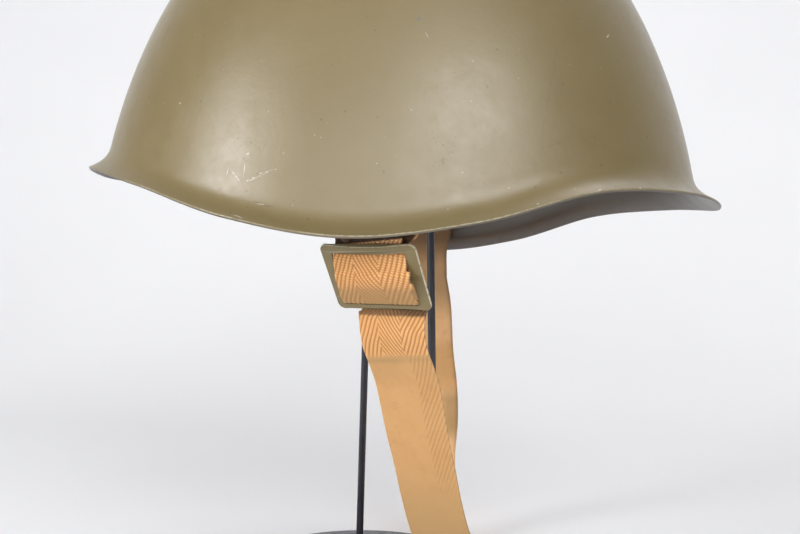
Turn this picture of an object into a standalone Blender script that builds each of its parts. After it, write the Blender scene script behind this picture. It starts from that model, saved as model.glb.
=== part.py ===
"""Military helmet on a plain display stand: an olive steel shell with a cotton chin strap.

Metres, +Z up, standing on z = 0. The helmet faces -X, so its left side is -Y.
"""
import math

import bmesh
import bpy
from mathutils import Matrix, Vector

# Clearance between pieces, and between a piece and the curved shell that it seats on
GAP = 0.00035
SEAT_GAP = 0.0005

# Shell: the dome is a rounded oval that carries on to a waist below the rim
RIM_LOW = 0.155
CROWN_ABOVE_RIM = 0.1816
WAIST_BELOW_RIM = 0.0306
DOME_FRONT = 0.1421
DOME_BACK = 0.1381
DOME_SIDE = 0.1159
DOME_POWER = 2.05
STEEL = 0.0012
RIM_RISE = 0.033
FLARE = 0.0102
FLARE_BAND = 0.0145
FLARE_POWER = 2.2
SHELL_STEPS_AROUND = 96
SHELL_STEPS_FLARE = 6
SHELL_STEPS_DOME = 15

# Rim from the front (0) to the back (180), the same on both sides.
# Columns: angle, rise above the lowest point, flare outward, height of the flared band,
# as shares of RIM_RISE, FLARE and FLARE_BAND.
RIM_ROWS = (
    (0.0, 0.98, 0.60, 0.76),
    (22.5, 0.985, 0.73, 0.77),
    (45.0, 0.655, 0.55, 0.79),
    (67.5, 0.22, 0.59, 0.83),
    (90.0, 0.0, 0.685, 0.87),
    (112.5, 0.18, 0.63, 0.92),
    (135.0, 0.575, 0.675, 0.96),
    (157.5, 0.625, 0.82, 0.98),
    (180.0, 0.54, 1.0, 1.0),
)

# Chin strap webbing
STRAP_WIDTH = 0.0285
STRAP_THICK = 0.0014

# Slider: a flat three-bar frame, bowed a little toward its face
SLIDER_WIDTH = 0.0402
SLIDER_HEIGHT = 0.030
SLIDER_LEFT_BAR = 0.0031
SLIDER_RIGHT_BAR = 0.0047
SLIDER_TOP_BAR = 0.0037
SLIDER_BOTTOM_BAR = 0.0024
SLIDER_MIDDLE_BAR = 0.0040
SLIDER_PLATE = 0.0012
SLIDER_BOW = 0.0010
SLIDER_CORNER = 0.0030
SLIDER_BEHIND_MIDDLE = 0.0071
SLIDER_BELOW_RIM = 0.0140
SLIDER_INSIDE_DOME = 0.0180
SLIDER_TURN = math.radians(-17.9)
SLIDER_TUCK = math.radians(34.0)

# Strap brackets, one inside each side of the shell
BRACKET_HEIGHT = 0.0045
BRACKET_ABOVE_RIM = 0.018
BRACKET_LENGTH = 0.038
BRACKET_WALL = 0.0016
BRACKET_BAR = 0.0022
BRACKET_PLAY = 0.0008
LEFT_BRACKET_X = 0.0030
RIGHT_BRACKET_X = -0.0015

# Stand
BASE_RADIUS = 0.052
BASE_THICK = 0.005
BASE_BEVEL = 0.0012
BASE_SEGMENTS = 64
BASE_CENTRE = Vector((-0.0182, 0.0122, 0.0))
ROD_DIAMETER = 0.0036
ROD_SIDES = 16
NEAR_ROD_FOOT = Vector((0.0184, -0.0011))
NEAR_ROD_HEAD = Vector((0.0124, -0.0102))
FAR_ROD_FOOT = Vector((-0.0261, 0.0444))
FAR_ROD_HEAD = Vector((-0.0168, 0.0277))
CRADLE_LENGTH = 0.088
CRADLE_WIDTH = 0.076
CRADLE_THICK = 0.0025

CRADLE_SECTORS = 32

# Worked out from the sizes above
WAIST = RIM_LOW - WAIST_BELOW_RIM
DOME_TALL = CROWN_ABOVE_RIM + WAIST_BELOW_RIM
BRACKET_LEVEL = RIM_LOW + BRACKET_ABOVE_RIM
SLIDER_CENTRE = Vector((SLIDER_BEHIND_MIDDLE, SLIDER_INSIDE_DOME - DOME_SIDE, RIM_LOW - SLIDER_BELOW_RIM))
STRAP_STEP = STRAP_THICK + GAP
STRAP_REACH = STRAP_THICK / 2 + 1.2 * GAP

# The webbing's sewn end behind the slider: how far its cut edge and its last stitch stay
# inside the opening, and how far the layer over it stands out from the middle bar.
SEWN_EDGE_INSIDE = 0.0030
SEWN_STITCH_INSIDE = 0.0060
SEWN_SECOND_INSIDE = 0.0020
SEWN_ABOVE_SLIDER = 0.0010
FRONT_LAYER_ABOVE_SLIDER = 0.0025

# The strap between its bracket and the slider, where it starts to turn: x, y, height and turn.
# Heights of the strap are shares of RIM_LOW, so that it hangs from the rim at any height.
STRAP_TWIST = (0.0043, -0.1072, 1.0516, -7.0)

# The strap below the slider, then round the foot of the stand and up the far side.
# Columns: x, y and height of the middle of the webbing, and the turn of its width in degrees.
STRAP_HANGING = (
    (0.0114, -0.0865, 0.8116, -17.9),
    (0.0114, -0.0825, 0.7510, -17.5),
    (0.0121, -0.0795, 0.7194, -17.0),
    (0.0134, -0.0760, 0.6871, -16.5),
    (0.0150, -0.0698, 0.6368, -16.0),
    (0.0160, -0.0620, 0.5677, -16.0),
    (0.0171, -0.0535, 0.4839, -16.0),
    (0.0192, -0.0435, 0.3806, -16.0),
    (0.0213, -0.0365, 0.2839, -16.0),
    (0.0246, -0.0305, 0.1858, -15.0),
    (0.0292, -0.0245, 0.1032, -8.0),
    (0.0340, -0.0150, 0.0503, 0.0),
    (0.0362, 0.0010, 0.0394, 4.0),
    (0.0325, 0.0180, 0.0394, 20.0),
    (0.0215, 0.0390, 0.0426, 24.0),
    (0.0128, 0.0560, 0.0723, 16.0),
    (0.0072, 0.0690, 0.1484, 7.0),
    (0.0048, 0.0790, 0.2710, 0.0),
    (0.0050, 0.0895, 0.3916, 0.0),
    (0.0040, 0.0950, 0.4903, 0.0),
    (0.0010, 0.1002, 0.6258, 0.0),
    (-0.0012, 0.1040, 0.8000, 0.0),
    (-0.0040, 0.1058, 0.9032, 0.0),
    (-0.0040, 0.1058, 1.0065, 0.0),
)


def remove_objects():
    """Empty the scene."""
    for item in list(bpy.data.objects):
        bpy.data.objects.remove(item, do_unlink=True)


def make_material(name, color, roughness, metallic):
    """A Principled material."""
    material = bpy.data.materials.new(name)
    material.use_nodes = True
    shader = material.node_tree.nodes["Principled BSDF"]
    shader.inputs["Base Color"].default_value = (*color, 1.0)
    shader.inputs["Roughness"].default_value = roughness
    shader.inputs["Metallic"].default_value = metallic
    return material


def make_object(name, mesh_builder, material):
    """One named object from a bmesh."""
    bmesh.ops.recalc_face_normals(mesh_builder, faces=mesh_builder.faces)
    if mesh_builder.calc_volume(signed=True) < 0:
        bmesh.ops.reverse_faces(mesh_builder, faces=mesh_builder.faces)
    mesh = bpy.data.meshes.new(name)
    mesh_builder.to_mesh(mesh)
    mesh_builder.free()
    mesh.materials.append(material)
    item = bpy.data.objects.new(name, mesh)
    bpy.context.scene.collection.objects.link(item)
    return item


def bridge_rings(builder, rings):
    """Quads between closed rings of vertices that have equal counts."""
    for lower, upper in zip(rings, rings[1:]):
        for i in range(len(lower)):
            j = (i + 1) % len(lower)
            builder.faces.new((lower[i], lower[j], upper[j], upper[i]))


def smooth_curve(points, share):
    """Catmull-Rom through four values, at a share between the middle two."""
    a, b, c, d = points
    return 0.5 * (
        2 * b
        + (c - a) * share
        + (2 * a - 5 * b + 4 * c - d) * share ** 2
        + (3 * b - a - 3 * c + d) * share ** 3
    )


def rim_sizes(angle):
    """Height of the rim, flare outward and height of the flared band, at an angle from the front."""
    degrees = math.degrees(math.acos(max(-1.0, min(1.0, math.cos(angle)))))
    last = len(RIM_ROWS) - 1
    step = RIM_ROWS[last][0] / last
    index = min(int(degrees / step), last - 1)
    share = degrees / step - index
    rows = [RIM_ROWS[last - abs(last - abs(index + k))] for k in (-1, 0, 1, 2)]
    rise, flare, band = (smooth_curve([row[column] for row in rows], share) for column in (1, 2, 3))
    return RIM_LOW + rise * RIM_RISE, flare * FLARE, band * FLARE_BAND


def dome_share(height):
    """Width of the dome at a height, as a share of its width at the waist."""
    level = min(1.0, abs(height - WAIST) / DOME_TALL)
    return (1 - level ** DOME_POWER) ** (1 / DOME_POWER)


def dome_radius(angle, height):
    """Radius of the plain dome, without its flare."""
    length = DOME_FRONT if math.cos(angle) > 0 else DOME_BACK
    along = abs(math.cos(angle)) / length
    across = abs(math.sin(angle)) / DOME_SIDE
    return dome_share(height) / (along ** DOME_POWER + across ** DOME_POWER) ** (1 / DOME_POWER)


def shell_point(angle, height):
    """A point on the outside of the shell."""
    rim, flare, band = rim_sizes(angle)
    near_rim = max(0.0, 1 - (height - rim) / band)
    radius = dome_radius(angle, height) + flare * near_rim ** FLARE_POWER
    return Vector((-radius * math.cos(angle), radius * math.sin(angle), height))


def dome_side(x, height):
    """Distance of the plain dome from the middle plane, at a place along it."""
    length = DOME_FRONT if x < 0 else DOME_BACK
    along = abs(x) / (length * dome_share(height))
    return DOME_SIDE * dome_share(height) * (1 - along ** DOME_POWER) ** (1 / DOME_POWER)


def dome_height(x, y):
    """Height of the plain dome over a point."""
    length = DOME_FRONT if x < 0 else DOME_BACK
    share = (abs(x) / length) ** DOME_POWER + (abs(y) / DOME_SIDE) ** DOME_POWER
    return WAIST + DOME_TALL * (1 - share) ** (1 / DOME_POWER)


def seat_height(x, y):
    """Height of a seat under the crown, clear of the inside of the shell."""
    step = DOME_SIDE / 200
    slope_x = (dome_height(x + step, y) - dome_height(x - step, y)) / (2 * step)
    slope_y = (dome_height(x, y + step) - dome_height(x, y - step)) / (2 * step)
    steepness = math.sqrt(1 + slope_x ** 2 + slope_y ** 2)
    return dome_height(x, y) - (STEEL + SEAT_GAP) * steepness


def build_shell(material):
    """The pressed steel shell, open below, with its rim flared all round."""
    builder = bmesh.new()
    angles = [2 * math.pi * i / SHELL_STEPS_AROUND for i in range(SHELL_STEPS_AROUND)]
    rings = []
    for row in range(SHELL_STEPS_FLARE + SHELL_STEPS_DOME):
        ring = []
        for angle in angles:
            rim, _, band = rim_sizes(angle)
            if row < SHELL_STEPS_FLARE:
                height = rim + band * (row / SHELL_STEPS_FLARE) ** 1.3
            else:
                start = math.asin((rim + band - WAIST) / DOME_TALL)
                turn = (row - SHELL_STEPS_FLARE) / SHELL_STEPS_DOME
                height = WAIST + DOME_TALL * math.sin(start + (math.pi / 2 - start) * turn)
            ring.append(builder.verts.new(shell_point(angle, height)))
        rings.append(ring)
    bridge_rings(builder, rings)
    crown = builder.verts.new((0.0, 0.0, WAIST + DOME_TALL))
    for i in range(SHELL_STEPS_AROUND):
        builder.faces.new((rings[-1][i], rings[-1][(i + 1) % SHELL_STEPS_AROUND], crown))
    shell = make_object("helmet_shell", builder, material)
    thickness = shell.modifiers.new("steel", "SOLIDIFY")
    thickness.thickness = STEEL
    thickness.offset = -1.0
    thickness.use_even_offset = True
    return shell


def slider_axes():
    """Width, upward and face directions of the slider."""
    width = Vector((math.cos(SLIDER_TURN), math.sin(SLIDER_TURN), 0.0))
    outward = Vector((math.sin(SLIDER_TURN), -math.cos(SLIDER_TURN), 0.0))
    face = outward * math.cos(SLIDER_TUCK) - Vector((0.0, 0.0, math.sin(SLIDER_TUCK)))
    return width, face.cross(width), face


def slider_bow(across, up):
    """How far the slider's face stands forward, most at the middle of its top bar."""
    return SLIDER_BOW * (1 - (2 * across / SLIDER_WIDTH) ** 2) * (0.5 + up / SLIDER_HEIGHT)


def build_slider(material):
    """The stamped three-bar slider."""
    builder = bmesh.new()
    inner_left = SLIDER_LEFT_BAR - SLIDER_WIDTH / 2
    inner_right = SLIDER_WIDTH / 2 - SLIDER_RIGHT_BAR
    inner_low = SLIDER_BOTTOM_BAR - SLIDER_HEIGHT / 2
    inner_high = SLIDER_HEIGHT / 2 - SLIDER_TOP_BAR
    steps = 8
    columns = [-SLIDER_WIDTH / 2]
    columns += [inner_left + (inner_right - inner_left) * i / steps for i in range(steps + 1)]
    columns += [SLIDER_WIDTH / 2]
    half_bar = SLIDER_MIDDLE_BAR / 2
    rows = [-SLIDER_HEIGHT / 2, inner_low, -half_bar, half_bar, inner_high, SLIDER_HEIGHT / 2]
    slots = (1, 3)
    grid = [[builder.verts.new((x, 0.0, z)) for x in columns] for z in rows]
    for i in range(len(rows) - 1):
        for j in range(len(columns) - 1):
            if i in slots and 0 < j < len(columns) - 2:
                continue
            builder.faces.new((grid[i][j], grid[i][j + 1], grid[i + 1][j + 1], grid[i + 1][j]))
    corners = [grid[i][j] for i in (0, -1) for j in (0, -1)]
    bmesh.ops.bevel(
        builder, geom=corners, offset=SLIDER_CORNER, segments=3, profile=0.5, affect="VERTICES"
    )
    for vertex in builder.verts:
        vertex.co.y = -slider_bow(vertex.co.x, vertex.co.z)
    slider = make_object("strap_slider", builder, material)
    thickness = slider.modifiers.new("plate", "SOLIDIFY")
    thickness.thickness = SLIDER_PLATE
    thickness.offset = 0.0
    width, up, _ = slider_axes()
    slider.rotation_mode = "QUATERNION"
    back = up.cross(width)
    axes = (width, back, up)
    slider.matrix_world = frame_matrix(axes, SLIDER_CENTRE)
    return slider


def frame_matrix(axes, origin):
    """A placement from three axes and an origin."""
    matrix = Matrix.Identity(4)
    for column, axis in enumerate(axes):
        for row in range(3):
            matrix[row][column] = axis[row]
    matrix.translation = origin
    return matrix


def slider_route(pairs):
    """Strap rows, in the middle of the opening, from pairs of upward and forward distances."""
    width, up, face = slider_axes()
    middle = SLIDER_CENTRE + width * (SLIDER_LEFT_BAR - SLIDER_RIGHT_BAR) / 2
    turn = math.degrees(SLIDER_TURN)
    rows = []
    for upward, forward in pairs:
        point = middle + up * upward + face * forward
        rows.append((*point, turn))
    return rows


def bracket_places(side):
    """X of a bracket, and y of the middle of its slot and of its bar."""
    middle_x = LEFT_BRACKET_X if side < 0 else RIGHT_BRACKET_X
    wall = side * (dome_side(middle_x, BRACKET_LEVEL) - STEEL - SEAT_GAP)
    slot = STRAP_THICK + 2 * BRACKET_PLAY
    slot_middle = wall - side * (BRACKET_WALL + slot / 2)
    bar_middle = slot_middle - side * (slot / 2 + BRACKET_BAR / 2)
    return middle_x, slot_middle, bar_middle


def round_corner(corner, radius, angles):
    """Points on an arc about a corner, at angles in degrees from the first axis to the second."""
    turns = [math.radians(angle) for angle in angles]
    return [
        (corner[0] + radius * math.cos(turn), corner[1] + radius * math.sin(turn)) for turn in turns
    ]


def strap_route():
    """The whole strap as rows of x, y, z and turn: sewn end, slider, loop and far end."""
    step = STRAP_STEP
    reach = STRAP_REACH
    bar = SLIDER_MIDDLE_BAR / 2
    opening = SLIDER_HEIGHT / 2 - SLIDER_TOP_BAR
    foot = SLIDER_BOTTOM_BAR - SLIDER_HEIGHT / 2
    edge = SLIDER_HEIGHT / 2
    back = -SLIDER_PLATE / 2
    front = SLIDER_PLATE / 2 + SLIDER_BOW / 2
    behind = back - reach
    sewn_end = [(opening - SEWN_EDGE_INSIDE, behind - 0.2 * step)]
    sewn_end += [(opening - SEWN_STITCH_INSIDE, behind + 0.2 * step)]
    sewn_end += round_corner((bar, front), reach, (-30, 0, 45, 90))
    sewn_end += round_corner((-bar, front), reach, (90, 135, 180))
    sewn_end += round_corner((-bar, back), reach, (180, 225, 270))
    sewn_end += [(bar, behind - 0.3 * step), (opening - SEWN_STITCH_INSIDE, behind - step)]
    sewn_end += [(opening - SEWN_SECOND_INSIDE, behind - 1.4 * step)]
    sewn_end += [(edge + SEWN_ABOVE_SLIDER, behind - 1.4 * step)]
    woven = [(edge + FRONT_LAYER_ABOVE_SLIDER, behind)]
    woven += round_corner((opening, back), reach, (270, 225, 180))
    woven += round_corner((bar, front), reach + step, (40, 65, 90))
    woven += round_corner((-bar, front), reach + step, (90, 115, 140))
    woven += round_corner((foot, back), reach, (30, 0, -45, -90))
    woven += [(-edge, behind)]
    near = bracket_loop(-1)
    far = bracket_loop(1)
    return (
        slider_route(sewn_end) + near + from_rim_heights([STRAP_TWIST]) + slider_route(woven)
        + from_rim_heights(STRAP_HANGING) + far + far_sewn_end()
    )


def from_rim_heights(rows):
    """Strap rows with their heights worked out from the rim, and never inside the foot of the stand."""
    lowest = BASE_THICK + GAP + STRAP_THICK / 2
    return [(x, y, max(share * RIM_LOW, lowest), turn) for x, y, share, turn in rows]


def bracket_loop(side):
    """Strap rows over a bracket's bar, from the side away from the shell to the side next to it."""
    middle_x, slot_middle, bar_middle = bracket_places(side)
    reach = STRAP_REACH
    top = BRACKET_LEVEL + BRACKET_HEIGHT / 2
    bottom = BRACKET_LEVEL - BRACKET_HEIGHT / 2
    half_bar = BRACKET_BAR / 2
    inner = -half_bar - reach
    slot = abs(slot_middle - bar_middle)
    pairs = [(inner, bottom - STRAP_THICK), (inner, bottom)]
    pairs += round_corner((-half_bar, top), reach, (180, 135, 90))
    pairs += round_corner((half_bar, top), reach, (90, 45, 0))
    pairs += [(slot, bottom), (slot, bottom - STRAP_THICK)]
    return [(middle_x, bar_middle + side * outward, height, 0.0) for outward, height in pairs]


def far_sewn_end():
    """Strap rows of the far end, which lies along the strap behind it and is sewn to it."""
    last_rows = from_rim_heights(STRAP_HANGING[-2:])
    return [(x, y + STRAP_STEP, z, turn) for x, y, z, turn in reversed(last_rows)]


def sample_route(rows, spacing):
    """Rows along a smooth curve through the given rows, about a spacing apart."""
    pairs = list(zip(rows, rows[1:]))
    lengths = [(Vector(after[:3]) - Vector(before[:3])).length for before, after in pairs]
    steps = [
        [(after[c] - before[c]) / length for c in range(4)]
        for (before, after), length in zip(pairs, lengths)
    ]
    slopes = [steps[0]]
    for i in range(1, len(steps)):
        share = lengths[i - 1] / (lengths[i - 1] + lengths[i])
        slopes.append([steps[i - 1][c] * (1 - share) + steps[i][c] * share for c in range(4)])
    slopes.append(steps[-1])
    samples = []
    for i, (before, after) in enumerate(pairs):
        count = max(1, round(lengths[i] / spacing))
        for k in range(count):
            s = k / count
            samples.append([
                before[c] * (1 + 2 * s) * (1 - s) ** 2
                + slopes[i][c] * lengths[i] * s * (1 - s) ** 2
                + after[c] * s ** 2 * (3 - 2 * s)
                + slopes[i + 1][c] * lengths[i] * s ** 2 * (s - 1)
                for c in range(4)
            ])
    samples.append(list(rows[-1]))
    return samples


def build_strap(material):
    """The chin strap, one length of webbing from its sewn end at the slider to the far bracket."""
    builder = bmesh.new()
    rows = sample_route(strap_route(), 0.0025)
    points = [Vector(row[:3]) for row in rows]
    rings = []
    last = len(points) - 1
    for index, point in enumerate(points):
        along = (points[min(index + 1, last)] - points[max(index - 1, 0)]).normalized()
        turn = math.radians(rows[index][3])
        width = Vector((math.cos(turn), math.sin(turn), 0.0))
        width = (width - along * width.dot(along)).normalized() * STRAP_WIDTH / 2
        thick = along.cross(width).normalized() * STRAP_THICK / 2
        corners = (width + thick, width - thick, -width - thick, -width + thick)
        rings.append([builder.verts.new(point + corner) for corner in corners])
    bridge_rings(builder, rings)
    builder.faces.new(rings[0])
    builder.faces.new(rings[-1])
    return make_object("chin_strap", builder, material)


def build_bracket(name, side, material):
    """A flat loop welded inside the shell, which the strap passes through."""
    builder = bmesh.new()
    middle_x, slot_middle, bar_middle = bracket_places(side)
    slot = STRAP_THICK + 2 * BRACKET_PLAY
    slot_x = STRAP_WIDTH / 2 + BRACKET_PLAY
    inner_y = bar_middle - side * BRACKET_BAR / 2
    steps = 8
    slot_columns = [-slot_x + 2 * slot_x * i / steps for i in range(steps + 1)]
    columns = [-BRACKET_LENGTH / 2] + slot_columns + [BRACKET_LENGTH / 2]
    columns = [middle_x + column for column in columns]
    levels = []
    for height in (BRACKET_LEVEL - BRACKET_HEIGHT / 2, BRACKET_LEVEL + BRACKET_HEIGHT / 2):
        grid = []
        for x in columns:
            wall_y = side * (dome_side(x, height) - STEEL - SEAT_GAP)
            lines = (wall_y, slot_middle + side * slot / 2, slot_middle - side * slot / 2, inner_y)
            grid.append([builder.verts.new((x, y, height)) for y in lines])
        levels.append(grid)
    for grid in levels:
        for j in range(len(columns) - 1):
            for k in range(3):
                if k == 1 and 0 < j < len(columns) - 2:
                    continue
                builder.faces.new((grid[j][k], grid[j + 1][k], grid[j + 1][k + 1], grid[j][k + 1]))
    for edge in [e for e in builder.edges if len(e.link_faces) == 1 and e.verts[0].co.z < BRACKET_LEVEL]:
        pair = [find_above(levels, vertex) for vertex in edge.verts]
        builder.faces.new((edge.verts[0], edge.verts[1], pair[1], pair[0]))
    return make_object(name, builder, material)


def find_above(levels, vertex):
    """The vertex of the upper grid over one of the lower grid."""
    lower, upper = levels
    for j, line in enumerate(lower):
        if vertex in line:
            return upper[j][line.index(vertex)]
    return None


def build_base(material):
    """The round foot of the stand."""
    builder = bmesh.new()
    bmesh.ops.create_cone(
        builder,
        cap_ends=True,
        segments=BASE_SEGMENTS,
        radius1=BASE_RADIUS,
        radius2=BASE_RADIUS,
        depth=BASE_THICK,
    )
    upper_rim = [edge for edge in builder.edges if all(vertex.co.z > 0 for vertex in edge.verts)]
    bmesh.ops.bevel(builder, geom=upper_rim, offset=BASE_BEVEL, segments=2, profile=0.5, affect="EDGES")
    base = make_object("stand_base", builder, material)
    base.location = BASE_CENTRE + Vector((0.0, 0.0, BASE_THICK / 2))
    return base


def rod_ends(foot, head):
    """The middle of a rod's lower and upper end."""
    reach = ROD_DIAMETER / 2
    corners = [(head.x + i * reach, head.y + j * reach) for i in (-1, 1) for j in (-1, 1)]
    seat = min(seat_height(x, y) for x, y in corners) - CRADLE_THICK
    return Vector((foot.x, foot.y, BASE_THICK + GAP)), Vector((head.x, head.y, seat - GAP))


def build_rod(name, foot, head, material):
    """A straight round rod, flat at both ends, leaning from the base to the cradle."""
    builder = bmesh.new()
    rings = []
    for centre in rod_ends(foot, head):
        ring = []
        for i in range(ROD_SIDES):
            angle = 2 * math.pi * i / ROD_SIDES
            offset = Vector((math.cos(angle), math.sin(angle), 0.0)) * ROD_DIAMETER / 2
            ring.append(builder.verts.new(centre + offset))
        rings.append(ring)
    bridge_rings(builder, rings)
    for ring in rings:
        builder.faces.new(ring)
    return make_object(name, builder, material)


def build_cradle(material):
    """The dished plate under the crown, which carries the shell."""
    builder = bmesh.new()
    surfaces = []
    for drop in (0.0, CRADLE_THICK):
        rings = []
        for share in (0.25, 0.5, 0.75, 1.0):
            ring = []
            for i in range(CRADLE_SECTORS):
                angle = 2 * math.pi * i / CRADLE_SECTORS
                x = CRADLE_LENGTH / 2 * share * math.cos(angle)
                y = CRADLE_WIDTH / 2 * share * math.sin(angle)
                ring.append(builder.verts.new((x, y, seat_height(x, y) - drop)))
            rings.append(ring)
        bridge_rings(builder, rings)
        middle = builder.verts.new((0.0, 0.0, seat_height(0.0, 0.0) - drop))
        for i in range(CRADLE_SECTORS):
            builder.faces.new((rings[0][i], rings[0][(i + 1) % CRADLE_SECTORS], middle))
        surfaces.append(rings[-1])
    bridge_rings(builder, surfaces)
    return make_object("stand_cradle", builder, material)


def main():
    """Build every piece."""
    remove_objects()
    olive = make_material("olive_paint", (0.205, 0.170, 0.085), 0.42, 0.0)
    webbing = make_material("cotton_webbing", (0.62, 0.36, 0.15), 0.9, 0.0)
    dark_metal = make_material("dark_metal", (0.035, 0.034, 0.040), 0.45, 0.3)
    build_shell(olive)
    build_slider(olive)
    build_bracket("left_strap_bracket", -1, olive)
    build_bracket("right_strap_bracket", 1, olive)
    build_strap(webbing)
    build_base(dark_metal)
    build_rod("stand_rod_near", NEAR_ROD_FOOT, NEAR_ROD_HEAD, dark_metal)
    build_rod("stand_rod_far", FAR_ROD_FOOT, FAR_ROD_HEAD, dark_metal)
    build_cradle(dark_metal)


main()
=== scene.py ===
"""Looks for the military helmet on its display stand.

World: metres, +Z up. The helmet faces -X, and the camera looks at its left side, -Y.
"""
import math

import bmesh
import bpy
from mathutils import Matrix, Vector, noise


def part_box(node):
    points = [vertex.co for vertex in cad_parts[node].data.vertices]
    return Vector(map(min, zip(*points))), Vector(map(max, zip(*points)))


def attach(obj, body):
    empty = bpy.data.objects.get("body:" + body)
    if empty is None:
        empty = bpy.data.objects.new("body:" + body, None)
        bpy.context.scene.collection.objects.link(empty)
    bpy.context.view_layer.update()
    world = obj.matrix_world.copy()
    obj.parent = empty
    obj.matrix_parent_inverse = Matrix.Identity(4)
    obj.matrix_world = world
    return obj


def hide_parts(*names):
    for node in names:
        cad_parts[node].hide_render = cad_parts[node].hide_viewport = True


# Camera, fitted to the photo: level, a little turned and a little rolled
CAMERA_PLACE = Vector((0.0798, -0.4936, 0.1448))
CAMERA_YAW = math.radians(9.12)
CAMERA_ROLL = 0.0106
CAMERA_LENS = 48.0
CAMERA_SENSOR = 36.0
PHOTO_WIDTH = 800
PHOTO_HEIGHT = 534
FOCAL_PIXELS = CAMERA_LENS / CAMERA_SENSOR * PHOTO_WIDTH

# Shell, with the solid's sizes, but its rim bends outward closer to the edge
RIM_LOW = 0.155
CROWN_ABOVE_RIM = 0.1816
WAIST_BELOW_RIM = 0.0306
DOME_FRONT = 0.1421
DOME_BACK = 0.1381
DOME_SIDE = 0.1159
DOME_POWER = 2.05
STEEL = 0.0012
RIM_RISE = 0.033
FLARE = 0.0102
FLARE_BAND = 0.0145
FLARE_POWER = 3.2
WAIST = RIM_LOW - WAIST_BELOW_RIM
DOME_TALL = CROWN_ABOVE_RIM + WAIST_BELOW_RIM
SHELL_STEPS_AROUND = 320
SHELL_STEPS_FLARE = 16
SHELL_STEPS_DOME = 48
FLARE_ROWS_POWER = 1.3
DENT_DEPTH = 0.00016
DENT_WIDE = 22.0
DENT_CLOSE = 70.0
DENT_CLOSE_SHARE = 0.35
EDGE_ROUND = 0.00022
WORN_BAND = 0.0035

# Rim from the front (0) to the back (180). Columns: angle in degrees, and rise, flare outward and
# height of the flared band, as shares of RIM_RISE, FLARE and FLARE_BAND.
RIM_ROWS = (
    (0.0, 0.98, 0.60, 0.76),
    (22.5, 0.985, 0.73, 0.77),
    (45.0, 0.670, 0.55, 0.79),
    (67.5, 0.246, 0.59, 0.83),
    (90.0, 0.024, 0.685, 0.87),
    (112.5, 0.194, 0.63, 0.92),
    (135.0, 0.575, 0.675, 0.96),
    (157.5, 0.625, 0.82, 0.98),
    (180.0, 0.54, 1.0, 1.0),
)

# Cut edge of the sheet: how far a line of it stands beyond the rim, and how deep it lies in the
# thickness, as shares of EDGE_ROUND and STEEL.
EDGE_ROWS = ((0.0, 0.0), (0.65, 0.07), (1.0, 0.25), (1.0, 0.75), (0.65, 0.93), (0.0, 1.0))

# Clearances and the strap's sizes, as in the solid
GAP = 0.00035
SEAT_GAP = 0.0005
STRAP_WIDTH = 0.0285
STRAP_THICK = 0.0014
STRAP_STEP = STRAP_THICK + GAP
STRAP_REACH = STRAP_THICK / 2 + 1.2 * GAP
STRAP_SPACING_CLOSE = 0.00031
STRAP_SPACING_RUBBED = 0.00065
STRAP_SPACING_FAR = 0.0018
STRAP_STEPS_FRONT = 100
STRAP_STEPS_BACK = 16
SELVEDGE_ROUND = 0.00055
SELVEDGE_PALE = (-0.0009, -0.0003)
STRAP_PRESSED = 0.98

# Slider
SLIDER_WIDTH = 0.0402
SLIDER_HEIGHT = 0.030
SLIDER_LEFT_BAR = 0.0031
SLIDER_RIGHT_BAR = 0.0047
SLIDER_TOP_BAR = 0.0037
SLIDER_BOTTOM_BAR = 0.0024
SLIDER_MIDDLE_BAR = 0.0040
SLIDER_PLATE = 0.0012
SLIDER_BOW = 0.0010
SLIDER_CORNER = 0.0030
SLIDER_EDGE = 0.00022
SLIDER_STEP = 0.0012
CORNER_STEPS = 8
SLIDER_HOLLOW = 0.0008
SLIDER_SAG = 0.0008
# Band along the slider's top and right edges whose cut faces get rubbed paint with a painted highlight
SLIDER_HIGHLIT_EDGE = 0.0012
OPENING_CORNER = 0.0010
OPENING_SLANT = 0.11
OPENING_SLANT_BELOW = 0.0050
OPENING_LOW_LEFT_CORNER = 0.0026
SLIDER_TURN = math.radians(-17.9)
SLIDER_TUCK = math.radians(34.0)
SLIDER_CENTRE = Vector((0.0071, 0.0180 - DOME_SIDE, RIM_LOW - 0.0140))

# Brackets
BRACKET_HEIGHT = 0.0045
BRACKET_LEVEL = RIM_LOW + 0.018
BRACKET_WALL = 0.0016
BRACKET_BAR = 0.0022
BRACKET_PLAY = 0.0008
LEFT_BRACKET_X = 0.0030
RIGHT_BRACKET_X = -0.0015

# Stand: thickness, cut edge, rounded upper rim and sides of the foot, then sides of the rods and
# their softened ends, as shares of the radius and distances from the end
BASE_THICK = 0.005
BASE_EDGE = 0.0004
BASE_ROUND = 0.0012
BASE_SIDES = 128
ROD_SIDES = 40
ROD_ENDS = ((0.8, 0.0), (1.0, 0.0004))

# Sewn end behind the slider
SEWN_EDGE_INSIDE = 0.0030
SEWN_STITCH_INSIDE = 0.0060
SEWN_SECOND_INSIDE = 0.0020
SEWN_ABOVE_SLIDER = 0.0010
FRONT_LAYER_ABOVE_SLIDER = 0.0025

# Where the webbing bulges in the lower opening, upward and forward of the slider's middle
BULGE_UP = -0.0080
BULGE_FORWARD = 0.0021

# The strap between its bracket and the slider, where it starts to turn: x, y, height and turn.
# Heights of the strap are shares of RIM_LOW.
STRAP_TWIST = (0.0043, -0.1072, 1.0516, -7.0)

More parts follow.
